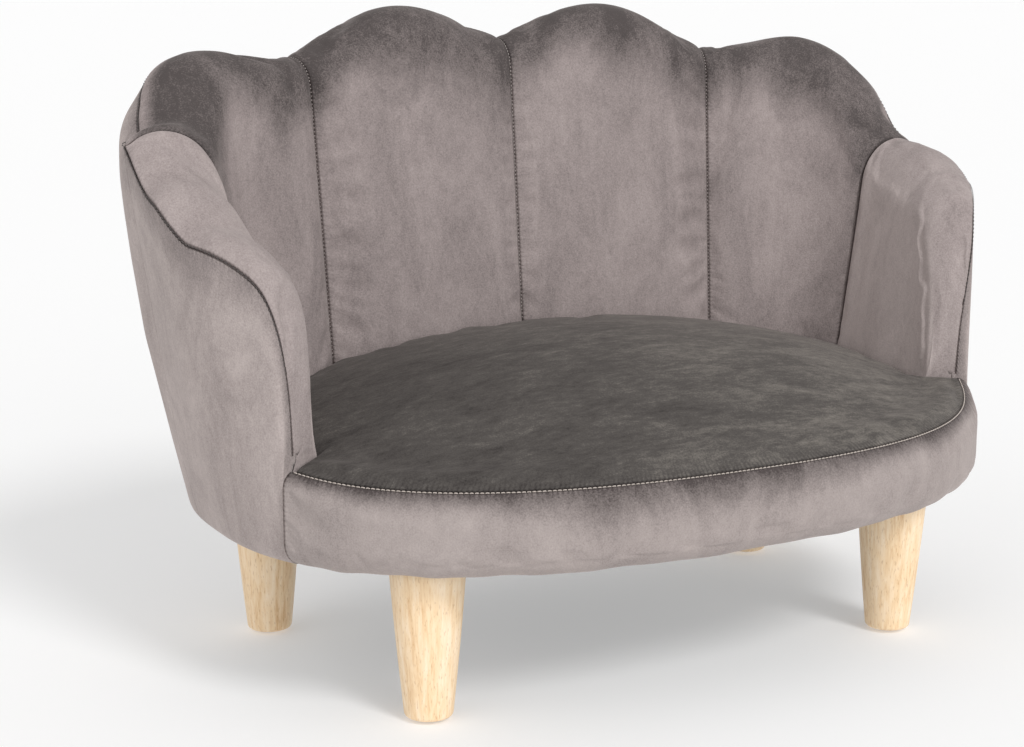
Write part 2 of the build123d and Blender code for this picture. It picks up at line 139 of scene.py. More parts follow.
def towards(azimuth: float, elevation: float) -> Vector:
    """Direction with an azimuth and an elevation in degrees, seen from the sofa."""
    az, el = math.radians(azimuth), math.radians(elevation)
    return Vector((math.sin(az) * math.cos(el), -math.cos(az) * math.cos(el), math.sin(el)))


def running(steps: Iterable[float]) -> list[float]:
    """Distances covered, from 0, after each of some steps."""
    return [0.0, *accumulate(steps)]


def walk(lengths: list[float], targets: Iterable[float]) -> Iterator[tuple[int, float]]:
    """Segment that holds each rising target distance, and the share of the way through it."""
    index = 0
    for target in targets:
        while index < len(lengths) - 2 and lengths[index + 1] < target:
            index += 1
        span = lengths[index + 1] - lengths[index]
        yield index, (target - lengths[index]) / span if span > 0 else 0.0


def resample(points: Section, count: int) -> Section:
    """Spread a number of points evenly along a line.

    Args:
        points: Corners of the line.
        count: How many points to return.

    Returns:
        Points at equal distances along the line, both ends included.
    """
    lengths = running(math.hypot(b[0] - a[0], b[1] - a[1]) for a, b in zip(points, points[1:]))
    targets = [lengths[-1] * step / (count - 1) for step in range(count)]
    return [(mix(points[i][0], points[i + 1][0], share), mix(points[i][1], points[i + 1][1], share))
            for i, share in walk(lengths, targets)]


def soften(points: Section, passes: int) -> Section:
    """Round the corners of a line of millimetre steps by averaging neighbours."""
    length = sum(math.hypot(b[0] - a[0], b[1] - a[1]) for a, b in zip(points, points[1:]))
    line = resample(points, max(int(length), 4))
    for _ in range(passes):
        inner = [((a[0] + 2 * b[0] + c[0]) / 4, (a[1] + 2 * b[1] + c[1]) / 4)
                 for a, b, c in zip(line, line[1:], line[2:])]
        line = [line[0], *inner, line[-1]]
    return line


def arc(start: Spot, middle: Spot, end: Spot, count: int) -> Section:
    """Points on the circle through three points.

    Args:
        start: First end of the arc.
        middle: A point that the arc passes.
        end: Last end of the arc.
        count: How many points to return.

    Returns:
        Points from start to end.
    """
    (ax, ay), (bx, by), (cx, cy) = start, middle, end
    twice = 2 * (ax * (by - cy) + bx * (cy - ay) + cx * (ay - by))
    a2, b2, c2 = ax * ax + ay * ay, bx * bx + by * by, cx * cx + cy * cy
    ox = (a2 * (by - cy) + b2 * (cy - ay) + c2 * (ay - by)) / twice
    oy = (a2 * (cx - bx) + b2 * (ax - cx) + c2 * (bx - ax)) / twice
    radius = math.hypot(ax - ox, ay - oy)
    turn = [math.atan2(y - oy, x - ox) for x, y in (start, middle, end)]
    way = 1 if ((turn[1] - turn[0]) % math.tau) < ((turn[2] - turn[0]) % math.tau) else -1
    sweep = ((turn[2] - turn[0]) * way) % math.tau
    return [(ox + radius * math.cos(turn[0] + way * sweep * i / (count - 1)),
             oy + radius * math.sin(turn[0] + way * sweep * i / (count - 1)))
            for i in range(count)]


@dataclass(frozen=True)
class SofaForm:
    """Sizes of the sofa in millimetres and the surfaces that they give."""

    base_width: float = 524.0
    front_reach: float = 181.0
    rear_reach: float = 155.0
    front_fullness: float = 2.35
    rear_fullness: float = 3.0
    setback: float = 15.0
    base_height: float = 98.0
    deck_top: float = 146.0
    cover: float = 1.2
    wadding: float = 4.0
    pad_inset: float = 11.1
    frame_inset: float = 12.54
    fold_width: float = 26.0
    corner_roll: float = 8.0
    seam_height: float = 147.0
    band_bulge: float = 4.0
    foot_roll: float = 14.0
    head_roll: float = 9.0
    seat_peak_height: float = 198.0
    seat_peak_y: float = 40.0
    seat_deep: float = 405.2
    seat_across: float = 736.7
    arm_tip: float = 68.5
    nose: float = 73.5
    arm_valley: float = 84.0
    arm_lean_at: float = 91.5
    arm_back: float = 95.5
    side_seam: float = 150.5
    middle_seam: float = 180.0
    tip_height: float = 166.0
    valley_height: float = 290.0
    arm_back_height: float = 326.0
    side_height: float = 376.0
    middle_height: float = 385.0
    front_sag: float = 4.0
    front_arch: float = 0.25
    rear_lobe: float = 4.0
    rear_climb: float = 1.4
    outer_lobe: float = 31.0
    outer_skew: float = 0.75
    outer_fullness: float = 1.6
    middle_lobe: float = 24.5
    middle_fullness: float = 1.35
    tip_depth: float = 20.0
    arm_depth: float = 37.0
    arm_back_depth: float = 41.0
    back_depth: float = 62.0
    pad_crown: float = 7.0
    rim_share: float = 0.5
    seam_drop_share: float = 0.18
    peak_share: float = 0.42
    panel_drop: float = 12.0
    belly: float = 2.0
    seam_inset: float = 3.6
    tuck: float = 13.0
    tuck_height: float = 17.0
    tuck_per_swell: float = 6.0
    tip_lean: float = 0.03
    arm_lean: float = 0.16
    back_lean: float = -0.03
    inner_arm_lean: float = 0.15
    inner_back_lean: float = 0.10
    left_climb: float = 6.0
    right_climb: float = 12.0

    def outline(self, angle: float) -> tuple[float, float, float, float]:
        """Point of the base outline and its outward direction.

        Args:
            angle: Place round the sofa in degrees.

        Returns:
            The point's x and y, and the outward direction's x and y.
        """
        across, ahead = math.sin(math.radians(angle)), math.cos(math.radians(angle))
        fullness = self.front_fullness if ahead >= 0 else self.rear_fullness
        reach = self.front_reach if ahead >= 0 else self.rear_reach
        half = self.base_width / 2
        x = half * power(across, 2 / fullness)
        y = -reach * power(ahead, 2 / fullness)
        slope_x = power(x / half, fullness - 1) / half
        slope_y = power(y / reach, fullness - 1) / reach
        size = math.hypot(slope_x, slope_y)
        return x, y + self.setback, slope_x / size, slope_y / size

    def place(self, angle: float, outward: float, height: float) -> Vector:
        """Point at a distance outside the base outline and a height, in millimetres."""
        x, y, out_x, out_y = self.outline(angle)
        return Vector((x + out_x * outward, y + out_y * outward, height))

    def facing(self, angle: float, rise: float = 0.0) -> Vector:
        """Outward direction of the base outline, tilted up by a rise."""
        _, _, out_x, out_y = self.outline(angle)
        return Vector((out_x, out_y, rise))

    def crest(self, angle: float) -> float:
        """Height of the top of the padded rim, a little uneven from hand upholstery."""
        return self.even_crest(abs(angle)) + self.unevenness(angle)

    def unevenness(self, angle: float) -> float:
        """How far hand upholstery lifts or lowers the rim: left arm high, right arm low."""
        size = abs(angle)
        valley = (1 - ease((size - 84) / 6)) * ease((size - 70) / 6)
        if angle > 0:
            return 4.0 * valley - 14.0 * math.exp(-((size - 96.5) / 5) ** 2)
        return 13.0 * math.exp(-((size - 95.5) / 3.6) ** 2) - 3.0 * valley

    def even_crest(self, angle: float) -> float:
        """Height of the rim where both sides match."""
        if angle >= self.side_seam:
            across = max(math.sin(math.radians(angle)), 0) / math.sin(math.radians(self.side_seam))
            share = 1 - across ** (2 / self.rear_fullness)
            rise = self.middle_lobe * max(math.sin(math.pi * share), 0) ** self.middle_fullness
            return mix(self.side_height, self.middle_height, share) + rise
        if angle >= self.arm_back:
            share = part_way(angle, self.arm_back, self.side_seam)
            wave = max(math.sin(math.pi * share ** self.outer_skew), 0)
            rise = self.outer_lobe * wave ** self.outer_fullness
            return mix(self.arm_back_height, self.side_height, share) + rise
        if angle >= self.arm_valley:
            share = part_way(angle, self.arm_valley, self.arm_back)
            rise = self.rear_lobe * math.sin(math.pi * share)
            return mix(self.valley_height, self.arm_back_height, share ** self.rear_climb) + rise
        share = part_way(angle, self.arm_valley, self.arm_tip)
        arch = max(1 - share ** 2, 0) ** self.front_arch
        sag = self.front_sag * math.sin(math.pi * share)
        return mix(self.tip_height, self.valley_height, arch) - sag

    def seat_top(self, x: float, y: float) -> float:
        """Height of the crowned seat at a point in plan."""
        profile = self.seat_peak_height - self.seat_deep
        profile += (self.seat_deep ** 2 - (y - self.seat_peak_y) ** 2) ** 0.5
        axis = self.seat_peak_height - self.seat_across
        return axis + ((profile - axis) ** 2 - x ** 2) ** 0.5

    def seam_at(self, angle: float) -> float:
        """Height of the front seam, which climbs a little towards the arms."""
        climb = self.right_climb if angle > 0 else self.left_climb
        return self.seam_height - 0.6 + climb * (abs(angle) / self.arm_tip) ** 5

    def crown(self, angle: float) -> float:
        """How far a lobe stands out between its seams, from 0 at a seam to 1."""
        angle = abs(angle)
        if angle >= self.side_seam:
            share = part_way(angle, self.side_seam, self.middle_seam)
        elif angle >= self.arm_back:
            share = part_way(angle, self.arm_back, self.side_seam)
        else:
            share = mix(0.5, 1.0, part_way(max(angle, self.nose), self.nose, self.arm_back))
        return 1 - abs(2 * share - 1) ** 3

    def outer(self, angle: float, height: float) -> float:
        """Outside of the shell, outward from the base outline."""
        angle = abs(angle)
        to_arm = ease(part_way(angle, self.arm_tip, self.arm_lean_at))
        to_back = ease(part_way(angle, self.arm_back, self.side_seam))
        lean = mix(mix(self.tip_lean, self.arm_lean, to_arm), self.back_lean, to_back)
        return lean * (height - self.base_height)

    def inner(self, angle: float, height: float) -> float:
        """Inside of the shell, upright to the seat and leaning outward above it."""
        angle = abs(angle)
        to_back = ease(part_way(angle, self.arm_back, self.side_seam))
        to_seam = ease(part_way(angle, self.arm_lean_at, self.arm_back))
        to_arm = ease(part_way(angle, self.arm_tip, self.arm_lean_at))
        depth = mix(mix(self.tip_depth, self.arm_depth, to_arm), self.arm_back_depth, to_seam)
        depth = mix(depth, self.back_depth, to_back) + self.pad_crown * self.crown(angle)
        lean = mix(self.inner_arm_lean, self.inner_back_lean, to_back) * to_arm
        spot = self.place(angle, -depth, 0)
        return lean * max(height - self.seat_top(spot.x, spot.y), 0) - depth


class Rim:
    """Corners of the shell's section at one angle."""

    def __init__(self, form: SofaForm, angle: float) -> None:
        """Work out a form's section at an angle in degrees."""
        self.form, self.angle = form, angle
        self.top = form.crest(angle)
        thickness = form.outer(angle, self.top) - form.inner(angle, self.top)
        tip = max(part_way(abs(angle), form.nose, form.arm_tip), 0.0)
        left = mix(0.5, 1.0, max(1 - tip ** 3, 0.0) ** 0.5)
        self.shrink = thickness * (1 - left) / 2
        rim_height = min(thickness * form.rim_share, (self.top - form.deck_top) * 0.6)
        self.shoulder = self.top - rim_height
        self.seam = self.top - rim_height * form.seam_drop_share / form.rim_share
        self.panel_top = self.shoulder - form.panel_drop
        size = abs(angle)
        self.tuck = form.tuck * ease((size - form.arm_back) / 5) * (1 - ease((size - 106) / 24))
        self.tuck_from = self.seam - form.tuck_height
        spot = form.place(angle, form.inner(angle, form.deck_top), 0)
        self.contact = form.seat_top(spot.x, spot.y)
        self.waist = min(self.contact, (form.deck_top + self.shoulder) / 2)

    def drawn_in(self, height: float) -> float:
        """How far each face moves towards the middle of the arm's tip at a height."""
        return self.shrink * max(height - self.waist, 0) / (self.seam - self.waist)

    def out(self, height: float, inset: float = 0.0) -> Spot:
        """Point on the outside face, or inset from it."""
        tuck = self.tuck * ease((height - self.tuck_from) / self.form.tuck_height)
        return self.form.outer(self.angle, height) - self.drawn_in(height) - inset - tuck, height

    def into(self, height: float) -> Spot:
        """Point on the inside face."""
        return self.form.inner(self.angle, height) + self.drawn_in(height), height

    def arch(self, count: int) -> Section:
        """Rounded top from the inside face over to the outer seam."""
        first, last = self.into(self.shoulder), self.out(self.seam)
        peak = (mix(last[0], first[0], self.form.peak_share), self.top)
        return arc(first, peak, last, count)

    def face(self, count: int) -> Section:
        """Inside of the shell from the deck up and over to the outer seam."""
        low = [self.into(self.form.deck_top), self.into(self.waist)]
        return resample(soften([*low, *self.arch(24)], 40), count)

    def lining(self, count: int) -> Section:
        """Hidden back of the padding from the outer seam down to the deck."""
        form = self.form
        gap = form.cover + form.wadding + 0.4
        top = self.seam - 0.5
        points = [self.out(self.seam), self.out(top, gap)]
        if abs(self.angle) >= form.nose:
            over = self.panel_top + 0.6
            points += [self.out(over, gap), self.out(over, form.pad_inset)]
            points += [self.out(form.deck_top, form.pad_inset)]
        else:
            points += [self.out(form.deck_top, gap)]
        return resample([*points, self.into(form.deck_top)], count)

    def outside(self, count: int) -> Section:
        """Outer cover from its fold under the base, round the corner and up to the seam."""
        form = self.form
        low = form.base_height - form.cover
        foot = self.out(low)[0]
        roll = form.corner_roll
        corner = arc((foot - roll, low), (foot - roll * 0.293, low + roll * 0.293),
                     (foot, low + roll), 9)
        middle = (self.out(form.deck_top)[0] + form.belly, form.deck_top)
        top = self.seam - 0.3
        rise = [self.out(mix(form.deck_top, top, t)) for t in (0.35, 0.6, 0.75, 0.85, 0.93, 1.0)]
        swell = form.belly * (1 + self.tuck / form.tuck_per_swell)
        rise = [(x + swell * (1 - ((z - form.deck_top) / (top - form.deck_top)) ** 4), z)
                for x, z in rise]
        points = [(foot - form.fold_width, low), *corner, middle, *rise]
        return resample(soften(points, 12), count)

    def inside_of_cover(self, count: int) -> Section:
        """Hidden side of the outer cover and its wadding, from the seam down to the fold."""
        form = self.form
        depth = form.cover + form.wadding
        foot = self.out(form.base_height)[0]
        points = [self.out(self.seam - 0.3), self.out(self.seam - 0.8, depth),
                  (self.out(form.deck_top, depth)[0] + form.belly, form.deck_top),
                  (foot - depth, form.base_height + 2.0),
                  (foot - form.fold_width, form.base_height - 0.1),
                  (foot - form.fold_width, form.base_height - form.cover)]
        return resample(points, count)


class Finish(Enum):
    """Material slots of the record that the new pieces use."""

    INNER = "velvet_inner"
    OUTER = "velvet_outer"
    SEAT = "velvet_seat"
    BAND = "velvet_band"
    WOOD = "leg_wood"


class Nodes:
    """The node tree of a material or a world while it is built."""

    def __init__(self, owner: Material | bpy.types.World) -> None:
        """Start the owner with an empty tree."""
        owner.use_nodes = True
        self.tree = owner.node_tree
        self.tree.nodes.clear()

    def add(self, kind: str, settings: dict | None = None,
            links: dict | None = None) -> bpy.types.Node:
        """Add one node with its settings and links.

        Args:
            kind: The node's type name, without its "ShaderNode" prefix.
            settings: Values by socket name, or by property name.
            links: Output sockets by the input socket that they feed.

        Returns:
            The new node.
        """
        node = self.tree.nodes.new(f"ShaderNode{kind}")
        for key, value in (settings or {}).items():
            if key in node.inputs.keys():
                node.inputs[key].default_value = value
            else:
                setattr(node, key, value)
        for key, socket in (links or {}).items():
            self.tree.links.new(socket, node.inputs[key])
        return node

    def calc(self, operation: str, *terms: Socket | float) -> Socket:
        """Result of a calculation on sockets and numbers."""
        node = self.add("Math", {"operation": operation})
        for place, term in zip(node.inputs, terms):
            if isinstance(term, Socket):
                self.tree.links.new(term, place)
            else:
                place.default_value = term
        return node.outputs[0]

    def heap(self, total: Socket, source: Socket, depth: float, offset: float = 0.0) -> Socket:
        """Add a scaled and offset value to a running total."""
        return self.calc("ADD", total, self.calc("MULTIPLY_ADD", source, depth, offset))


class Surface(Nodes):
    """A material while it is built: a Principled surface with Object coordinates."""

    def __init__(self, name: str) -> None:
        """Start a material with a name."""
        self.material = bpy.data.materials.new(name)
        super().__init__(self.material)
        self.shader = self.add("BsdfPrincipled")
        self.add("OutputMaterial", links={"Surface": self.shader.outputs["BSDF"]})
        self.spot = self.add("TexCoord").outputs["Object"]

    def stretched(self, scale: Triple) -> Socket:
        """Coordinates scaled along each axis: a low scale draws a texture out."""
        return self.add("Mapping", {"Scale": scale}, {"Vector": self.spot}).outputs["Vector"]

    def noise(self, size_mm: float, detail: float, place: Socket, roughness: float = 0.5,
              distortion: float = 0.0) -> Socket:
        """Noise with features of a size in millimetres."""
        settings = {"Scale": 1 / (size_mm * MM), "Detail": detail, "Roughness": roughness,
                    "Distortion": distortion}
        return self.add("TexNoise", settings, {"Vector": place}).outputs["Fac"]

    def attribute(self, name: str) -> Socket:
        """Number that the mesh carries at each of its points."""
        return self.add("Attribute", {"attribute_name": name}).outputs["Fac"]

    def spread(self, value: Socket, low: float, high: float, first: float = 0.0,
               last: float = 1.0) -> Socket:
        """Number that goes from first to last as the value goes from low to high."""
        settings = {"From Min": low, "From Max": high, "To Min": first, "To Max": last}
        return self.add("MapRange", settings, {"Value": value}).outputs["Result"]

    def ramp(self, share: Socket, stops: list[tuple[float, str]]) -> Socket:
        """Colour ramp through hex colours at the given places."""
        node = self.add("ValToRGB", links={"Fac": share})
        points = node.color_ramp.elements
        while len(points) < len(stops):
            points.new(0.5)
        for point, (place, code) in zip(points, stops):
            point.position = place
            point.color = linear(code)
        return node.outputs["Color"]

    def tint(self, share: Socket, colour: Socket, code: str, blend: str = "MIX") -> Socket:
        """Colour mixed with a hex colour by a share."""
        settings = {"data_type": "RGBA", "blend_type": blend, "B": linear(code)}
        return self.add("Mix", settings, {"Factor": share, "A": colour}).outputs["Result"]

    def finish(self, colour: Socket, height: Socket, strength: float, depth_mm: float,
               values: dict[str, float | tuple[float, ...]]) -> Material:
        """Feed the surface its colour and relief, set its other inputs and give the material."""
        relief = self.add("Bump", {"Strength": strength, "Distance": depth_mm * MM},
                          {"Height": height})
        self.tree.links.new(colour, self.shader.inputs["Base Color"])
        self.tree.links.new(relief.outputs["Normal"], self.shader.inputs["Normal"])
        for key, value in values.items():
            self.shader.inputs[key].default_value = value
        return self.material


@dataclass(frozen=True)
class Velvet:
    """Short-pile polyester velvet, brushed by hand.

    Its pile lies in patches a few centimetres wide, lighter where it leans towards the light and
    darker where it leans away. Its tips catch light at a grazing angle, and a stitched seam
    gathers it into short puckers. Painted shade darkens the puckers and the seams, and each
    piece's own painted light and shade is laid over it.
    """

    name: str
    dark: str
    middle: str
    light: str
    lay: Triple = (1.0, 1.0, 0.5)
    patch_mm: float = 38.0
    brush_mm: float = 3.6
    pile_mm: float = 1.0
    patch_depth: float = 0.7
    brush_depth: float = 0.26
    pile_depth: float = 0.5
    sheen: float = 0.35
    pucker_mm: float = 2.9
    pucker_shade: float = 0.3
    pucker_reach: float = 2.2
    # Colour that paints shade along the seams.
    crease: str = "8a8280"

    def material(self) -> Material:
        """Build the material from the piece's attributes: its painted light and shade, and the gap
        and run of its seams.
        """
        skin = Surface(self.name)
        lay = skin.stretched(self.lay)
        patch = skin.noise(self.patch_mm, 4.0, lay, 0.66, 0.8)
        brush = skin.noise(self.brush_mm, 2.0, lay, 0.7)
        pile = skin.noise(self.pile_mm, 1.0, skin.spot, 0.8)
        # Painted light and shade: each piece's own level at each point, before the random patches.
        total = skin.attribute("painted_light")
        for source, depth in ((patch, self.patch_depth), (brush, self.brush_depth),
                              (pile, self.pile_depth)):
            total = skin.heap(total, source, depth, -depth / 2)
        gap = skin.attribute("gap")
        gather = self.puckers(skin, gap, brush)
        # Painted shade in the puckers: they darken the colour as well as bending the surface.
        total = skin.heap(total, gather, -self.pucker_shade)
        colour = skin.ramp(total, [(0.0, self.dark), (0.5, self.middle), (1.0, self.light)])
        # Painted shade along each seam: the colour is darkened next to it, fading out by 1.7 mm.
        line = skin.spread(gap, 0.2, 1.7, 1.0, 0.0)
        height = skin.heap(skin.heap(brush, pile, 0.6), gather, -1.6)
        return skin.finish(skin.tint(line, colour, self.crease, "MULTIPLY"), height, 0.5, 0.6, {
            "Roughness": 0.92, "Specular IOR Level": 0.18, "Sheen Weight": self.sheen,
            "Sheen Roughness": 0.36, "Sheen Tint": linear("d8cfcb")})

    def puckers(self, skin: Surface, gap: Socket, ragged: Socket) -> Socket:
        """Short folds across a seam at its stitch pitch, fading a few millimetres away."""
        turn = skin.heap(ragged, skin.attribute("run"), math.tau / self.pucker_mm)
        wave = skin.calc("SINE", skin.heap(turn, ragged, 5.0))
        fall = skin.calc("EXPONENT", skin.calc("MULTIPLY", gap, -1 / self.pucker_reach))
        return skin.calc("MULTIPLY", skin.spread(wave, -0.2, 1.0), fall)


@dataclass(frozen=True)
class PaleWood:
    """Turned rubberwood under clear matt lacquer: straight grain with short, dark pores."""

    name: str = "rubberwood_matt_lacquer"
    light: str = "fce6c9"
    middle: str = "f3d6ae"
    dark: str = "dfb686"
    pore: str = "b98a5c"
    board_mm: float = 14.0
    grain_mm: float = 2.4
    pore_mm: float = 0.8

    def material(self) -> Material:
        """Build the material, with the grain along the leg."""
        skin = Surface(self.name)
        along = skin.stretched((1.0, 1.0, 0.07))
        board = skin.noise(self.board_mm, 3.0, along, 0.55, 0.6)
        grain = skin.noise(self.grain_mm, 4.0, along, 0.65, 0.5)
        colour = skin.ramp(skin.heap(grain, board, 0.5),
                           [(0.55, self.light), (0.78, self.middle), (1.0, self.dark)])
        pores = skin.noise(self.pore_mm, 1.0, skin.stretched((1.0, 1.0, 0.2)), 0.4)
        wood = skin.tint(skin.spread(pores, 0.62, 0.72, last=0.38), colour, self.pore)
        return skin.finish(wood, grain, 0.2, 0.2, {
            "Roughness": 0.48, "Coat Weight": 0.12, "Coat Roughness": 0.3})


@dataclass(frozen=True)
class Plain:
    """A thread, or a hidden or small piece: one colour with a fine, even texture."""

    name: str
    colour: str
    other: str
    grain_mm: float
    roughness: float
    metallic: float = 0.0
    sheen: float = 0.0
    detail: float = 3.0
    relief: float = 0.3
    stretch: Triple = (1.0, 1.0, 1.0)

    def material(self) -> Material:
        """Build the material."""
        skin = Surface(self.name)
        speck = skin.noise(self.grain_mm, self.detail, skin.stretched(self.stretch))
        colour = skin.ramp(speck, [(0.35, self.colour), (0.65, self.other)])
        return skin.finish(colour, speck, self.relief, 0.2, {
            "Roughness": self.roughness, "Metallic": self.metallic, "Sheen Weight": self.sheen})


def thread(name: str, colour: str, other: str) -> Plain:
    """Twisted polyester sewing thread: its fine twist breaks up a faint lustre."""
    return Plain(name, colour, other, grain_mm=0.5, roughness=0.6, sheen=0.15, detail=1.0,
                 relief=0.4)


PALE_THREAD = thread("thread_pale_greige", "c4b9b2", "a3988f")
DARK_THREAD = thread("thread_dark_taupe", "4a4341", "373231")
TONE_THREAD = thread("thread_taupe", "a89d99", "8a807d")
# Four copies of one velvet whose colours hold painted light and shade: the seat's copy is darkest,
# as painted shade.
RECIPES: dict[Finish, Velvet | PaleWood] = {
    Finish.INNER: Velvet("velvet_inside_back", "4c4645", "968b89", "beb2af", patch_depth=0.62,
                         brush_depth=0.2, pucker_shade=0.16, pucker_reach=1.6),
    Finish.OUTER: Velvet("velvet_outside", "6b6362", "a49996", "cabeba"),
    Finish.SEAT: Velvet("velvet_seat_painted_shade", "302c2b", "54504d", "868079",
                        lay=(0.4, 1.0, 1.0), patch_mm=24.0, patch_depth=0.85,
                        brush_depth=0.55, pile_depth=0.55, sheen=0.2, pucker_reach=3.4),
    Finish.BAND: Velvet("velvet_front_band", "4a4342", "9c928f", "baafab",
                        lay=(1.0, 1.0, 0.6), patch_mm=42.0, patch_depth=0.6,
                        brush_depth=0.16, pile_depth=0.4, pucker_shade=0.22,
                        pucker_reach=2.0, crease="a09895"),
    Finish.WOOD: PaleWood(),
}


@cache
def made(recipe: Velvet | PaleWood | Plain) -> Material:
    """Material of a recipe, built once."""
    return recipe.material()


def to_object(mesh: bmesh.types.BMesh, name: str, smooth: bool = True) -> Object:
    """Make a linked object of a bmesh and free the bmesh.

    Args:
        mesh: The shape, in metres.
        name: The object's name.
        smooth: Whether to turn its faces outward and shade them smooth.

    Returns:
        The linked object.
    """
    if smooth:
        bmesh.ops.recalc_face_normals(mesh, faces=mesh.faces)
        for face in mesh.faces:
            face.smooth = True
    data = bpy.data.meshes.new(name)
    mesh.to_mesh(data)
    mesh.free()
    piece = bpy.data.objects.new(name, data)
    bpy.context.scene.collection.objects.link(piece)
    return piece


@dataclass
class Cloth:
    """How a padded piece swells when its seams are held."""

    cap_mm: float
    pressure: float = 4.0
    slack: float = 0.02
    frames: int = 20

    def settle(self, piece: Object) -> None:
        """Simulate a piece that its group "held" pins, and keep the result in its mesh."""
        scene = bpy.context.scene
        start = [vertex.co.copy() for vertex in piece.data.vertices]
        modifier = piece.modifiers.new("Swell", "CLOTH")
        cloth = modifier.settings
        cloth.effector_weights.gravity = 0
        settings = {"quality": 4, "mass": 0.25, "tension_stiffness": 12, "shear_stiffness": 4,
                    "compression_stiffness": 12, "bending_stiffness": 0.4, "use_pressure": True,
                    "uniform_pressure_force": self.pressure, "vertex_group_mass": "held",
                    "shrink_min": -self.slack}
        for key, value in settings.items():
            setattr(cloth, key, value)
        modifier.point_cache.frame_start = 1
        modifier.point_cache.frame_end = self.frames
        for frame in range(1, self.frames + 1):
            scene.frame_set(frame)
        shown = piece.evaluated_get(bpy.context.evaluated_depsgraph_get())
        moved = [vertex.co.copy() for vertex in shown.data.vertices]
        piece.modifiers.remove(modifier)
        scene.frame_set(1)
        cap = self.cap_mm * MM
        for vertex, first, last in zip(piece.data.vertices, start, moved):
            step = last - first
            if step.length > cap:
                step *= cap / step.length
            vertex.co = first + step


class Mark(NamedTuple):
    """What a grid's point carries: painted light and shade, nearest seam's gap, place along it,
    share held still.
    """

    painted_light: float
    gap: float
    run: float
    held: float


def weave(name: str, table: Table, marks: list[list[Mark]]) -> Object:
    """Make a closed piece from a grid: stations along its outline, a section at each.

    Args:
        name: The object's name.
        table: Points in millimetres, by station and row.
        marks: What each point carries.

    Returns:
        The linked object, with a float attribute for each mark and a group "held".
    """
    stations, rows = len(table), len(table[0])
    mesh = bmesh.new()
    bmesh.ops.create_grid(mesh, x_segments=stations - 1, y_segments=rows - 1, size=1)
    layers = [mesh.verts.layers.float.new(key) for key in Mark._fields]
    groups = mesh.verts.layers.deform.verify()
    for vertex in mesh.verts:
        i = round((vertex.co.x + 1) / 2 * (stations - 1))
        j = round((vertex.co.y + 1) / 2 * (rows - 1))
        vertex.co = table[i][j] * MM
        for layer, value in zip(layers, marks[i][j]):
            vertex[layer] = value
        vertex[groups][0] = marks[i][j].held
    bmesh.ops.remove_doubles(mesh, verts=mesh.verts, dist=1e-6)
    crease = mesh.edges.layers.float.new("crease_edge")
    ends = [edge for edge in mesh.edges if edge.is_boundary]
    for edge in ends:
        edge[crease] = 1.0
    caps = bmesh.ops.holes_fill(mesh, edges=ends, sides=0)["faces"]
    bmesh.ops.triangulate(mesh, faces=caps)
    piece = to_object(mesh, name)
    piece.vertex_groups.new(name="held")
    return piece


def dress(piece: Object, finish: Finish, nodes: list[str],
          subdivide: int = 1) -> None:
    """Give a piece the material of its slot and its body, and hide the nodes that it stands for.

    Args:
        piece: The new piece.
        finish: Its material slot.
        nodes: Nodes of the frame that it replaces.
        subdivide: Levels of subdivision.
    """
    piece.data.materials.append(made(RECIPES[finish]))
    if subdivide:
        surface = piece.modifiers.new("Subdivision", "SUBSURF")
        surface.levels = surface.render_levels = subdivide
    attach(piece, "root")
    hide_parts(*nodes)
    LOG.info("%s: %d points, stands for %s", piece.name, len(piece.data.vertices), nodes)


def sections(form: SofaForm, angles: list[float], lines: Iterable[Section]) -> Table:
    """Points of a closed section at each angle."""
    table = [[form.place(angle, out, height) for out, height in line]
             for angle, line in zip(angles, lines)]
    for column in table:
        column[-1] = column[0].copy()
    return table


def seam_facts(table: Table, rows: int, top: bool = False, start: bool = False,
               end: bool = False) -> tuple[Grid, Grid]:
    """Distance of each point of a grid's face from its nearest seam, and place along that seam.

    Args:
        table: The grid's points.
        rows: Rows that belong to the face.
        top: Whether the face's last row is a seam.
        start: Whether the first station is a seam.
        end: Whether the last station is a seam.

    Returns:
        Gaps and runs in millimetres; a gap is large where there is no seam.
    """
    gaps: Grid = []
    runs: Grid = []
    rises: Grid = []
    along, before = 0.0, table[0]
    for column in table:
        along += (column[rows - 1] - before[rows - 1]).length
        before = column
        rise = running((high - low).length for low, high in zip(column, column[1:]))
        rises.append(rise)
        gaps.append([rise[rows - 1] - rise[j] if top and j < rows else NO_SEAM
                     for j in range(len(column))])
        runs.append([along] * len(column))
    onward = range(len(table))
    for order in [way for way, sewn in ((onward, start), (onward[::-1], end)) if sewn]:
        for j in range(rows):
            reach, spot = 0.0, table[order[0]][j]
            for i in order:
                reach += (table[i][j] - spot).length
                spot = table[i][j]
                if reach < gaps[i][j]:
                    gaps[i][j], runs[i][j] = reach, rises[i][j]
    return gaps, runs


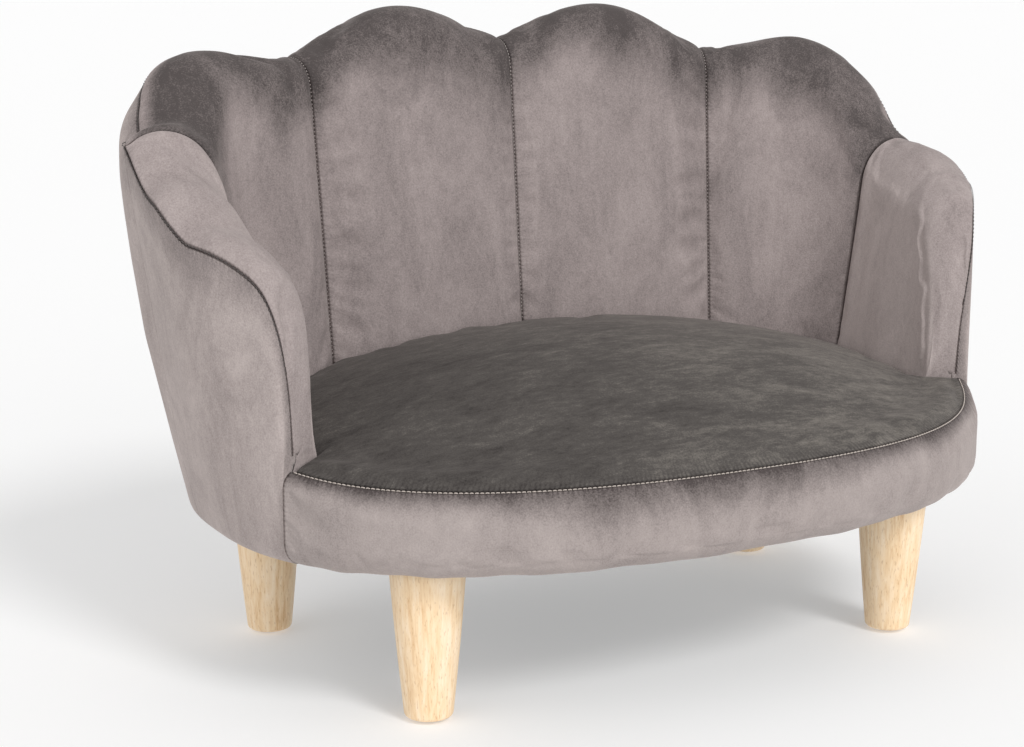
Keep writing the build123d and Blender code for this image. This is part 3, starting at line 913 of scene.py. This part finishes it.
@dataclass
class ShellPad:
    """A padded lobe of the shell: velvet drawn over foam between two seams."""

    form: SofaForm
    name: str
    nodes: list[str]
    angles: list[float]
    sewn_sides: bool = True
    face_rows: int = 104
    back_rows: int = 12
    grooves: Spot = (2.2, 2.2)
    widths: Spot = (4.6, 4.6)
    # Painted light and shade: the face's level, painted shade below the crest and a painted
    # highlight at the rim.
    face_light: float = 0.47
    crest_shade: float = 0.06
    rim_highlight: float = 0.5
    shade_depth: float = 56.0

    def light_level(self, angle: float, drop: float, rim_gap: float) -> float:
        """Painted light of a point: painted shade a drop below the crest, lighter further down, and
        a painted highlight at the rim.
        """
        ragged = self.shade_depth * (1 + 0.3 * math.sin(angle * 0.17)
                                    + 0.12 * math.sin(angle * 0.41 + 1))
        light_level = mix(self.crest_shade, self.face_light, ease((drop - 5) / ragged))
        return mix(max(light_level, self.rim_highlight), light_level, ease((rim_gap - 2) / 13))

    def build(self, cloth: Cloth) -> None:
        """Make the lobe."""
        form, last = self.form, self.face_rows - 1
        rims = [Rim(form, angle) for angle in self.angles]
        table = sections(form, self.angles, [
            rim.face(self.face_rows) + rim.lining(self.back_rows)[1:] for rim in rims])
        starts, runs = seam_facts(table, self.face_rows, start=True)
        ends, _ = seam_facts(table, self.face_rows, end=True)
        tops, top_runs = seam_facts(table, self.face_rows, top=True)
        marks = []
        for i, rim in enumerate(rims):
            column, row = table[i], []
            outward = form.facing(rim.angle)
            sideways = Vector((-outward.y, outward.x, 0))
            for j, point in enumerate(column):
                on_face = 0 < j < last
                reaches = (starts[i][j], ends[i][j])
                if on_face:
                    push = (column[j + 1] - column[j - 1]).cross(sideways).normalized()
                    if push.z > 0.7 or (push.dot(outward) < 0 and abs(push.z) < 0.7):
                        push = -push
                    for reach, deep, wide in zip(reaches, self.grooves, self.widths):
                        point = point + push * deep * math.exp(-(reach / wide) ** 1.3)
                    column[j] = point
                gap, run = min(reaches) if self.sewn_sides else NO_SEAM, runs[i][j]
                if tops[i][j] < gap:
                    gap, run = tops[i][j], top_runs[i][j]
                row.append(Mark(self.light_level(rim.angle, rim.top - point.z, tops[i][j]),
                                gap if j <= last else FAR, run,
                                0.0 if on_face and gap >= 1.5 else 1.0))
            marks.append(row)
        piece = weave(self.name, table, marks)
        cloth.settle(piece)
        dress(piece, Finish.INNER, self.nodes)


@dataclass
class OuterCover:
    """Velvet and wadding over the outside of the shell, folded under the base."""

    form: SofaForm
    name: str
    nodes: list[str]
    angles: list[float]
    face_rows: int = 96
    back_rows: int = 16

    def build(self) -> None:
        """Make the cover."""
        rims = [Rim(self.form, angle) for angle in self.angles]
        table = sections(self.form, self.angles, [
            rim.outside(self.face_rows) + rim.inside_of_cover(self.back_rows)[1:]
            for rim in rims])
        gaps, runs = seam_facts(table, self.face_rows, top=True)
        marks = []
        for angle, gap_row, run_row in zip(self.angles, gaps, runs):
            # Painted shade on the outer cover under the rim, darkest at the seam.
            deep = 30 + 10 * math.sin(angle * 0.13) + 5 * math.sin(angle * 0.37)
            marks.append([Mark(mix(0.24, 0.54, ease((gap - 1) / deep)), gap, run, 1.0)
                          for gap, run in zip(gap_row, run_row)])
        piece = weave(self.name, table, marks)
        dress(piece, Finish.OUTER, self.nodes)


@dataclass
class FrontBand:
    """Rounded, padded band between the arms, below the seat's front seam."""

    form: SofaForm
    rows: int = 64
    held_height: float = 9.0

    def section(self, angle: float) -> Section:
        """Closed section: from the fold round the front to the seam, and back down inside."""
        form = self.form
        low, top = form.base_height - form.cover, form.seam_at(angle)
        face, foot, head = form.band_bulge, form.foot_roll, form.head_roll
        bend = 1 - 0.5 ** 0.5
        seam, back, fold = -form.seam_inset, -form.frame_inset, -form.fold_width
        bottom = arc((face - foot, low), (face - foot * bend, low + foot * bend),
                     (face, low + foot), 12)
        over = arc((face, top - head), (face + (seam - face) * bend, top - head * bend),
                   (seam, top), 14)
        line = resample(soften([(fold, low), *bottom, *over], 10), self.rows)
        line += resample([line[-1], (back, line[-1][1] - 3.0), (back, form.base_height + 1),
                          (back, form.base_height - 0.1), (fold, form.base_height - 0.1),
                          (fold, low)], 14)[1:]
        wave = 0.7 * math.sin(angle * 0.35) + 0.4 * math.sin(angle * 0.8 + 1)
        return [(out, height + wave * math.exp(-((height - 104) / 10) ** 2))
                for out, height in line]

    def build(self, cloth: Cloth) -> None:
        """Make the band."""
        form, last = self.form, self.rows - 1
        tip = form.arm_tip - 0.03
        angles = clustered(-tip, tip, 170)
        table = sections(form, angles, map(self.section, angles))
        gaps, runs = seam_facts(table, self.rows, top=True, start=True, end=True)
        tops, _ = seam_facts(table, self.rows, top=True)
        marks = []
        for angle, column, gap_row, run_row, top_row in zip(angles, table, gaps, runs, tops):
            # Painted shade along the top of the band towards the front seam, reaching furthest just
            # left of the middle.
            reach = 13 + 24 * math.exp(-((angle + 8) / 24) ** 2) + 3 * math.sin(angle * 0.23)
            row = []
            for j, (point, gap, run, top) in enumerate(zip(column, gap_row, run_row, top_row)):
                low = point.z < form.base_height + self.held_height
                row.append(Mark(mix(0.08, 0.55, ease((top - 1.0) / reach) ** 0.8),
                                gap if j <= last else FAR, run,
                                1.0 if j >= last - 1 or low or gap < 1.5 else 0.0))
            marks.append(row)
        piece = weave("front_band", table, marks)
        cloth.settle(piece)
        dress(piece, Finish.BAND, ["front_band_cover", "front_band_foam"])


@dataclass
class SeatCushion:
    """Crowned oval seat, sewn to the band in front and tucked against the shell behind."""

    form: SofaForm
    rings: int = 34
    edge_roll: float = 5.0

    def edge(self) -> list[tuple[Vector, float]]:
        """Points round the seat in plan, each with the height of its seam, or 0 at the shell."""
        form = self.form
        tip = form.arm_tip - 0.4
        points = [(form.place(angle, -form.seam_inset, 0), form.seam_at(angle))
                  for angle in evenly(-tip, tip, 110)]
        for angle in map(turned, evenly(tip, 360 - tip, 160)[1:-1]):
            inside = Rim(form, angle).into(form.deck_top)[0] - 0.6
            points.append((form.place(angle, inside, 0), 0.0))
        return points

    def height(self, spot: Vector, reach: float, seam: float, off: float) -> float:
        """Height of the seat at a reach from its edge, whose seam lies off the crowned top."""
        top = self.form.seat_top(spot.x, spot.y)
        if seam:
            top += off * math.exp(-(reach / (22.0 if off > 0 else 9.0)) ** 1.5)
            return top + 3.2 * math.exp(-((reach - 13) / 9) ** 2)
        fall = 1 - math.sqrt(max(1 - max(1 - reach / self.edge_roll, 0) ** 2, 0))
        return max(top - self.edge_roll * fall, self.form.deck_top + 2.0)

    def build(self, cloth: Cloth) -> None:
        """Make the seat."""
        form = self.form
        loop = self.edge()
        loop.append(loop[0])
        centre = Vector((0, form.seat_peak_y - 10, 0))
        shares = [0.0, 0.004, 0.01, 0.018, 0.03, 0.045, 0.065, 0.09]
        shares += evenly(0.12, 0.985, self.rings)
        table, marks = [], []
        along, before = 0.0, loop[0][0]
        for edge, seam in loop:
            along += (edge - before).length
            before = edge
            low = min(seam - 2.5, form.deck_top) if seam else form.deck_top
            column = [Vector((edge.x, edge.y, low)), Vector((edge.x, edge.y, low + 1.5))]
            row = [Mark(0.5, 0.5, along, 1.0)] * 2
            off = seam - form.seat_top(edge.x, edge.y) if seam else 0.0
            for share in shares:
                spot = edge.lerp(centre, share)
                reach = (edge - centre).length * share
                column.append(Vector((spot.x, spot.y, self.height(spot, reach, seam, off))))
                # Painted shade on the seat's left side, lighter towards the right.
                row.append(Mark(0.36 + 0.26 * ease((spot.x + 190) / 380),
                                reach if seam else FAR, along, 1.0 if share < 0.012 else 0.0))
            table.append(column)
            marks.append(row)
        table[-1] = [point.copy() for point in table[0]]
        piece = weave("seat_cushion", table, marks)
        cloth.settle(piece)
        dress(piece, Finish.SEAT, ["seat_cover", "seat_foam"])


@dataclass
class Stitching:
    """A row of sewn stitches along a seam: short lengths of thread that dip at both ends."""

    name: str
    path: Path
    pitch: float
    length: float
    thickness: float
    lift: float

    def spots(self) -> list[tuple[Vector, Vector, Vector]]:
        """Middle, direction and outward normal of each stitch."""
        lengths = running((high - low).length
                          for (low, _), (high, _) in zip(self.path, self.path[1:]))
        count = int(lengths[-1] / self.pitch)
        targets = [(number + 0.5) * lengths[-1] / count for number in range(count)]
        result = []
        for i, share in walk(lengths, targets):
            (low, out_a), (high, out_b) = self.path[i], self.path[i + 1]
            result.append((low.lerp(high, share), (high - low).normalized(),
                           out_a.lerp(out_b, share).normalized()))
        return result

    def build(self, thread_recipe: Plain, finish: Finish) -> None:
        """Make every stitch as a six-sided length of thread.

        Args:
            thread_recipe: The thread's material.
            finish: Slot of the velvet that the stitches hold; not used.
        """
        mesh = bmesh.new()
        half, radius = self.length / 2, self.thickness / 2
        for middle, way, out in self.spots():
            side = way.cross(out).normalized()
            rings = []
            for t in (-1.0, -0.7, 0.0, 0.7, 1.0):
                size = radius * (0.45 if abs(t) == 1.0 else 1.0)
                core = middle + way * (half * t) + out * (self.lift - 0.55 * radius * t * t * 2)
                rings.append([mesh.verts.new((core + side * (size * math.cos(k * math.pi / 3))
                                              + out * (size * math.sin(k * math.pi / 3))) * MM)
                              for k in range(6)])
            for low, high in zip(rings, rings[1:]):
                for k in range(6):
                    mesh.faces.new((low[k], low[(k + 1) % 6], high[(k + 1) % 6], high[k]))
            mesh.faces.new(rings[0][::-1])
            mesh.faces.new(rings[-1])
        row = to_object(mesh, self.name)
        row.data.materials.append(made(thread_recipe))
        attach(row, "root")


@dataclass
class Seams:
    """All the visible rows of stitches."""

    form: SofaForm

    def build(self) -> None:
        """Sew the front seam, the rim seams and the seams between the lobes."""
        form, side = self.form, self.form.side_seam
        tip = form.arm_tip - 0.6
        front = [(form.place(angle, -form.seam_inset + 0.2, form.seam_at(angle) + 0.1),
                  form.facing(angle, 1.1).normalized()) for angle in evenly(-tip, tip, 240)]
        Stitching("stitches_front_seam", front, 2.9, 2.5, 0.8, 0.2).build(PALE_THREAD, Finish.BAND)
        tip = form.arm_tip + 0.2
        for name, start, end, steps in (("left", -tip, -side, 160), ("right", tip, side, 160),
                                        ("back", side, 360 - side, 120)):
            rim = [self.rim_spot(turned(angle)) for angle in evenly(start, end, steps)]
            Stitching(f"stitches_rim_{name}", rim, 2.9, 2.1, 0.6, 0.1).build(
                DARK_THREAD, Finish.OUTER)
        for number, angle in enumerate((-side, form.middle_seam, side), start=1):
            Stitching(f"stitches_lobe_{number}", self.lobe_path(angle), 2.5, 2.1, 1.0, -2.2).build(
                TONE_THREAD, Finish.INNER)

    def rim_spot(self, angle: float) -> tuple[Vector, Vector]:
        """Point on the outer seam and its outward direction."""
        rim = Rim(self.form, angle)
        return (self.form.place(angle, *rim.out(rim.seam - 0.2)),
                self.form.facing(angle, 0.25).normalized())

    def lobe_path(self, angle: float) -> Path:
        """Points up a seam between two lobes, from the seat over the rim."""
        form = self.form
        rim = Rim(form, angle)
        _, _, out_x, out_y = form.outline(angle)
        section = [spot for spot in rim.face(120) if spot[1] > rim.contact]
        path = []
        for (x0, z0), (x1, z1) in zip(section, section[1:]):
            up, outward = z1 - z0, x1 - x0
            normal = Vector((-out_x * up, -out_y * up, outward)) / math.hypot(up, outward)
            path.append((form.place(angle, x0, z0), normal))
        return path


@dataclass
class TurnedLeg:
    """Tapered round leg with a rounded foot."""

    form: SofaForm
    name: str
    place: Spot
    foot: float = 28.5
    top: float = 46.0
    lift: float = 2.0
    belly: float = 0.35

    def build(self) -> None:
        """Spin the leg's section round its axis."""
        low, high, foot = self.lift, self.form.base_height, self.foot / 2
        corner = arc((foot - 2.4, low), (foot - 0.6, low + 0.6), (foot + 0.4, low + 2.6), 6)
        side = [(mix(foot + 0.45, self.top / 2, t) + self.belly * math.sin(math.pi * t),
                 mix(low + 2.9, high - 0.8, t)) for t in evenly(0.0, 1.0, 12)]
        section = [(0.0, low), (foot / 2, low), *corner, *side,
                   (self.top / 2 - 0.8, high - 0.02), (6.0, high - 0.02), (0.0, high - 0.02)]
        mesh = bmesh.new()
        points = [mesh.verts.new(Vector((x, 0, z)) * MM) for x, z in section]
        edges = [mesh.edges.new(pair) for pair in zip(points, points[1:])]
        bmesh.ops.spin(mesh, geom=points + edges, cent=(0, 0, 0), axis=(0, 0, 1),
                       angle=math.tau, steps=72, use_merge=True)
        bmesh.ops.remove_doubles(mesh, verts=mesh.verts, dist=1e-6)
        bmesh.ops.translate(mesh, verts=mesh.verts,
                            vec=(self.place[0] * MM, self.place[1] * MM, 0))
        piece = to_object(mesh, f"turned_{self.name}")
        dress(piece, Finish.WOOD, [self.name], subdivide=0)


@dataclass
class Studio:
    """Pale floor, soft light and the camera at the photograph's angle."""

    focal_px: float = 2000.0
    azimuth: float = -28.6
    elevation: float = 12.0
    distance_mm: float = 1321.3
    target_mm: Triple = (-39.0, 53.4, 158.6)
    centre_y: float = 388.0
    frame_px: tuple[int, int] = (1024, 747)
    sensor_mm: float = 36.0
    floor_colour: str = "dadada"
    floor_glow: float = 0.3
    backdrop: str = "f5f5f5"
    sky_strength: float = 0.55

    def camera(self) -> None:
        """Place the camera."""
        data = bpy.data.cameras.new("camera")
        data.sensor_width = self.sensor_mm
        data.lens = self.focal_px / self.frame_px[0] * self.sensor_mm
        data.shift_y = (self.centre_y - self.frame_px[1] / 2) / self.frame_px[0]
        data.clip_end = 100.0
        camera = bpy.data.objects.new("camera", data)
        back = towards(self.azimuth, self.elevation)
        camera.location = (Vector(self.target_mm) + back * self.distance_mm) * MM
        camera.rotation_euler = back.to_track_quat("Z", "Y").to_euler()
        bpy.context.scene.collection.objects.link(camera)
        bpy.context.scene.camera = camera

    def floor(self) -> None:
        """Lay the floor: it glows faintly, which lifts it to the pale background."""
        mesh = bmesh.new()
        bmesh.ops.create_grid(mesh, x_segments=8, y_segments=8, size=40.0)
        floor = to_object(mesh, "studio_floor", smooth=False)
        ground = Surface("pale_floor")
        values = {"Base Color": linear(self.floor_colour), "Roughness": 0.9,
                  "Specular IOR Level": 0.1, "Emission Color": linear("ffffff"),
                  "Emission Strength": self.floor_glow}
        for key, value in values.items():
            ground.shader.inputs[key].default_value = value
        floor.data.materials.append(ground.material)

    def sun(self, name: str, azimuth: float, elevation: float, strength: float,
            spread: float) -> None:
        """Add a soft, distant light from an azimuth and an elevation in degrees."""
        data = bpy.data.lights.new(name, "SUN")
        data.energy = strength
        data.angle = math.radians(spread)
        light = bpy.data.objects.new(name, data)
        light.rotation_euler = towards(azimuth, elevation).to_track_quat("Z", "Y").to_euler()
        bpy.context.scene.collection.objects.link(light)

    def world(self) -> None:
        """Even sky light, with the pale backdrop where the camera looks past the sofa."""
        world = bpy.data.worlds.new("studio")
        sky = Nodes(world)
        light = sky.add("Background", {"Color": (1, 1, 1, 1), "Strength": self.sky_strength})
        shown = sky.add("Background", {"Color": linear(self.backdrop), "Strength": 1.0})
        path = sky.add("LightPath").outputs
        seen = sky.calc("MAXIMUM", path["Is Camera Ray"], path["Is Glossy Ray"])
        seen = sky.calc("MAXIMUM", seen, path["Is Transmission Ray"])
        joined = sky.add("MixShader", links={0: seen, 1: light.outputs[0], 2: shown.outputs[0]})
        sky.add("OutputWorld", links={"Surface": joined.outputs[0]})
        bpy.context.scene.world = world

    def build(self) -> None:
        """Set up the whole studio."""
        bpy.context.scene.view_settings.view_transform = "Standard"
        self.camera()
        self.floor()
        self.world()
        self.sun("key", 8.0, 42.0, 1.25, 16.0)
        self.sun("fill_left", -75.0, 30.0, 0.45, 50.0)
        self.sun("fill_front", 4.0, 20.0, 0.6, 40.0)


def dress_frame(frame: dict) -> None:
    """Give the pieces of the loaded frame that stay their own materials."""
    recipes = {
        "plywood": Plain("birch_plywood", "c9a878", "b8935f", 6.0, 0.7, stretch=(0.15, 1, 1)),
        "plated_steel": Plain("zinc_plated_steel", "b9b9b4", "a3a39d", 3.0, 0.35, metallic=1.0),
        "foam": Plain("upholstery_foam", "e6dbb0", "d9cc9c", 1.2, 0.95),
        "wadding": Plain("polyester_wadding", "eeeeea", "dededa", 2.5, 0.98),
        "dust_cloth": Plain("black_spunbond_cloth", "1d1d1e", "2b2b2c", 1.0, 0.9),
        "glide_felt": Plain("moulded_glide_dark", "3a3a3a", "4a4948", 1.5, 0.6),
    }
    slots = {part["node"]: part["material_slot"] for part in frame["record"]["subparts"]}
    for name, piece in frame["nodes"].items():
        if slots.get(name) in recipes:
            for place in piece.material_slots:
                place.material = made(recipes[slots[name]])


def main() -> None:
    """Build the sofa round the frame and set up the studio."""
    logging.basicConfig(level=logging.INFO, format="%(message)s")
    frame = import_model()
    form = SofaForm()
    cloth, firm = Cloth(cap_mm=1.8), Cloth(cap_mm=1.1)
    dress_frame(frame)
    seams = (-form.arm_back, -form.side_seam, -form.middle_seam)
    lobes = [*zip(seams, seams[1:]), (form.middle_seam, form.side_seam),
             (form.side_seam, form.arm_back)]
    for number, (start, end) in enumerate(lobes, start=1):
        nodes = [f"back_pad_{number}", f"back_cover_inner_{number}"]
        ShellPad(form, f"back_lobe_{number}", nodes, clustered(start, end, 52)).build(cloth)
    # The arms' inner faces get more painted light than the back lobes, the right arm the most.
    for side, sign, light_level in (("left", -1, 0.8), ("right", 1, 0.86)):
        angles = [sign * angle for angle in clustered(form.arm_tip, form.arm_back, 76)]
        nodes = [f"arm_nose_{side}", f"arm_pad_{side}", f"arm_cover_inner_{side}"]
        ShellPad(form, f"arm_lobe_{side}", nodes, angles, sewn_sides=False, grooves=(0.0, 2.2),
                 widths=(5.0, 6.0), face_light=light_level, crest_shade=0.55, shade_depth=22.0).build(firm)
        cover = [f"arm_cover_outer_{side}", f"arm_wadding_{side}"]
        OuterCover(form, f"arm_outside_{side}", cover, angles).build()
    angles = [turned(angle) for angle in evenly(form.arm_back, 360 - form.arm_back, 200)]
    OuterCover(form, "back_outside", ["back_cover_outer", "back_wadding"], angles).build()
    FrontBand(form).build(cloth)
    SeatCushion(form).build(cloth)
    Seams(form).build()
    for depth, spread, back in (("front", 340.0, -100.0), ("rear", 384.0, 94.0)):
        for side, sign in (("left", -1), ("right", 1)):
            place = (sign * spread / 2, form.setback + back)
            TurnedLeg(form, f"leg_{depth}_{side}", place).build()
    Studio().build()


if __name__ == "__main__":
    main()
